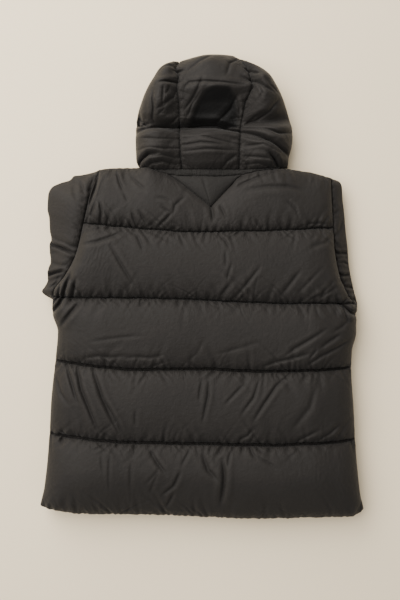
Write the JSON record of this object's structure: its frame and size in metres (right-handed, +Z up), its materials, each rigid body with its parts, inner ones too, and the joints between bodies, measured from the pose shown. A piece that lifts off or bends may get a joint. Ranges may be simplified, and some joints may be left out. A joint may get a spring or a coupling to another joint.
{
  "type": "hooded puffer jacket",
  "caption": "Hooded puffer jacket laid flat face down, quilted back up, sleeves folded under the fronts, panelled hood laid out above the shoulders.",
  "frame": {"origin": "on the surface the jacket lies on, under the middle of its outline", "axes": "+Z up from that surface, +Y from the hem towards the hood, +X towards the wearer's right side"},
  "size_m": [0.65, 0.9262, 0.098],
  "materials": {
    "back": "matt black quilted nylon",
    "neck_gusset": "matt black nylon",
    "neck_band": "matt black nylon",
    "front_left": "matt black quilted nylon",
    "front_right": "matt black quilted nylon",
    "sleeve_left": "matt black quilted nylon",
    "sleeve_right": "matt black quilted nylon",
    "cuff_left": "matt black nylon",
    "cuff_right": "matt black nylon",
    "collar_left": "matt black nylon",
    "collar_right": "matt black nylon",
    "hood_centre": "matt black padded nylon",
    "hood_left": "matt black padded nylon",
    "hood_right": "matt black padded nylon",
    "zip_chain": "black moulded zip on woven tape",
    "zip_slider": "black metal"
  },
  "bodies": {
    "root": {"back": "back", "neck_gusset": "neck_gusset", "neck_band": "neck_band", "front_left": "front_left", "front_right": "front_right", "sleeve_left": "sleeve_left", "sleeve_right": "sleeve_right", "cuff_left": "cuff_left", "cuff_right": "cuff_right", "collar_left": "collar_left", "collar_right": "collar_right", "hood_centre": "hood_centre", "hood_left": "hood_left", "hood_right": "hood_right", "zip_chain": "zip_chain", "zip_slider": "zip_slider"}
  },
  "joints": []
}
